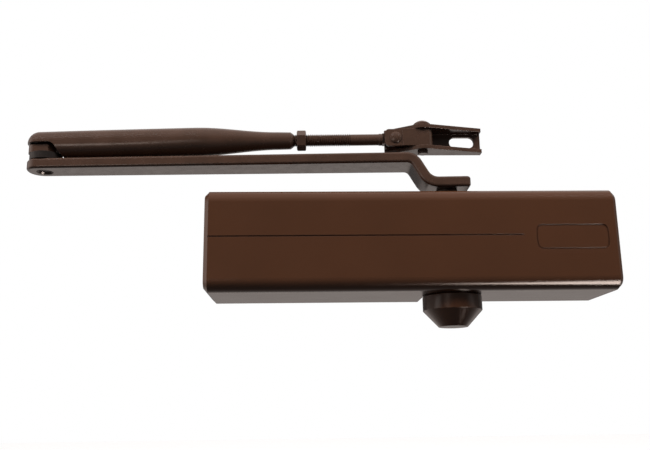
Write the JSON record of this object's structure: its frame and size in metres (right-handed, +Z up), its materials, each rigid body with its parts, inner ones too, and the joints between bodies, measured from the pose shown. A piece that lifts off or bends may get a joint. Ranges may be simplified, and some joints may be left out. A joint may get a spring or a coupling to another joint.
{
  "type": "overhead door closer",
  "caption": "Surface door closer: rack-and-pinion body under a full cover, cranked main arm, tubular forearm with threaded rod and a swivelling shoe.",
  "frame": {"origin": "centre of the body's four mounting holes, on the plane of the door face", "axes": "+X along the body to the right as seen from the room, +Y into the door, +Z up"},
  "size_m": [0.4595, 0.068, 0.168],
  "materials": {
    "cover_plastic": "satin moulded",
    "arm_paint": "satin sprayed",
    "body_casting": "as cast",
    "steel": "machined",
    "dark_steel": "oiled",
    "spring_steel": "oiled",
    "brass": "machined",
    "rubber": "smooth"
  },
  "bodies": {
    "housing": {"closer_body": "body_casting", "cover": "cover_plastic", "cover_screws": "dark_steel", "pinion_cap": "cover_plastic", "valve_end_plug": "steel", "spring_end_plug": "steel", "plug_o_rings": "rubber", "screw_o_ring": "rubber", "valve_o_rings": "rubber", "main_spring": "spring_steel", "inner_spring": "spring_steel", "upper_bearing_cup": "steel", "lower_bearing_cup": "steel", "upper_needles": "steel", "lower_needles": "steel", "upper_bearing_nut": "steel", "lower_bearing_nut": "steel", "spindle_seals": "rubber"},
    "power_screw": {"spring_adjusting_screw": "steel"},
    "spring_plate": {"spring_plate": "steel"},
    "piston": {"rack_piston": "steel", "check_retainer": "brass"},
    "check_ball": {"check_ball": "steel"},
    "sweep_valve": {"sweep_valve": "brass"},
    "latch_valve": {"latch_valve": "brass"},
    "backcheck_valve": {"backcheck_valve": "brass"},
    "main_arm": {"pinion_spindle": "steel", "main_arm": "arm_paint", "arm_screw": "dark_steel", "elbow_washer": "dark_steel"},
    "forearm": {"elbow_rivet": "dark_steel", "elbow_lug": "arm_paint", "forearm_tube": "arm_paint"},
    "jam_nut": {"jam_nut": "arm_paint"},
    "rod": {"adjusting_rod": "arm_paint"},
    "knuckle": {"knuckle_block": "arm_paint", "tilt_pin": "arm_paint"},
    "shoe": {"shoe": "arm_paint", "swivel_pin": "arm_paint"}
  },
  "joints": [
    {"name": "spindle_turn", "type": "hinge", "parent": "housing", "child": "main_arm", "pos_m": [0.0328, -0.0344, 0.05], "axis": [0, 0, 1], "range_deg": [0, 180], "stiffness_Nm_per_rad": 8, "springref_deg": -74.48},
    {"name": "piston_slide", "type": "slide", "parent": "housing", "child": "piston", "axis": [-1, 0, 0], "range_m": [0, 0.0316], "deforming": ["main_spring", "inner_spring"]},
    {"name": "check_ball_lift", "type": "slide", "parent": "piston", "child": "check_ball", "axis": [1, 0, 0], "range_m": [0, 0.002]},
    {"name": "power_screw_turn", "type": "hinge", "parent": "housing", "child": "power_screw", "pos_m": [-0.12, -0.0344, 0], "axis": [-1, 0, 0], "range_deg": [0, 1800]},
    {"name": "spring_plate_slide", "type": "slide", "parent": "housing", "child": "spring_plate", "axis": [1, 0, 0], "range_m": [0, 0.008], "deforming": ["main_spring", "inner_spring"]},
    {"name": "sweep_valve_turn", "type": "hinge", "parent": "housing", "child": "sweep_valve", "pos_m": [0.08662, -0.053, 0.01905], "axis": [0, -1, 0], "range_deg": [-360, 360]},
    {"name": "latch_valve_turn", "type": "hinge", "parent": "housing", "child": "latch_valve", "pos_m": [0.10462, -0.053, 0.01905], "axis": [0, -1, 0], "range_deg": [-360, 360]},
    {"name": "backcheck_valve_turn", "type": "hinge", "parent": "housing", "child": "backcheck_valve", "pos_m": [0.06862, -0.053, 0.01905], "axis": [0, -1, 0], "range_deg": [-360, 360]},
    {"name": "elbow_turn", "type": "hinge", "parent": "main_arm", "child": "forearm", "pos_m": [-0.28952, -0.0236, 0.08], "axis": [0, 0, 1], "continuous": true},
    {"name": "jam_nut_run", "type": "slide", "parent": "forearm", "child": "jam_nut", "axis": [0.9995, -0.0308, 0], "range_m": [-0.0028, 0.02]},
    {"name": "rod_adjust", "type": "slide", "parent": "forearm", "child": "rod", "axis": [0.9995, -0.0308, 0], "range_m": [-0.008, 0.025]},
    {"name": "shoe_tilt", "type": "hinge", "parent": "rod", "child": "knuckle", "pos_m": [-0.00655, -0.03231, 0.09], "axis": [0.0308, 0.9995, 0], "range_deg": [-10, 10]},
    {"name": "shoe_swivel", "type": "hinge", "parent": "knuckle", "child": "shoe", "pos_m": [0.01544, -0.03299, 0.09], "axis": [0, 0, 1], "range_deg": [-180, 0]}
  ],
  "couplings": [
    {"joint": "piston_slide", "follows": "spindle_turn", "m_per_rad": 0.01},
    {"joint": "spring_plate_slide", "follows": "power_screw_turn", "m_per_rad": 0.00023873}
  ]
}
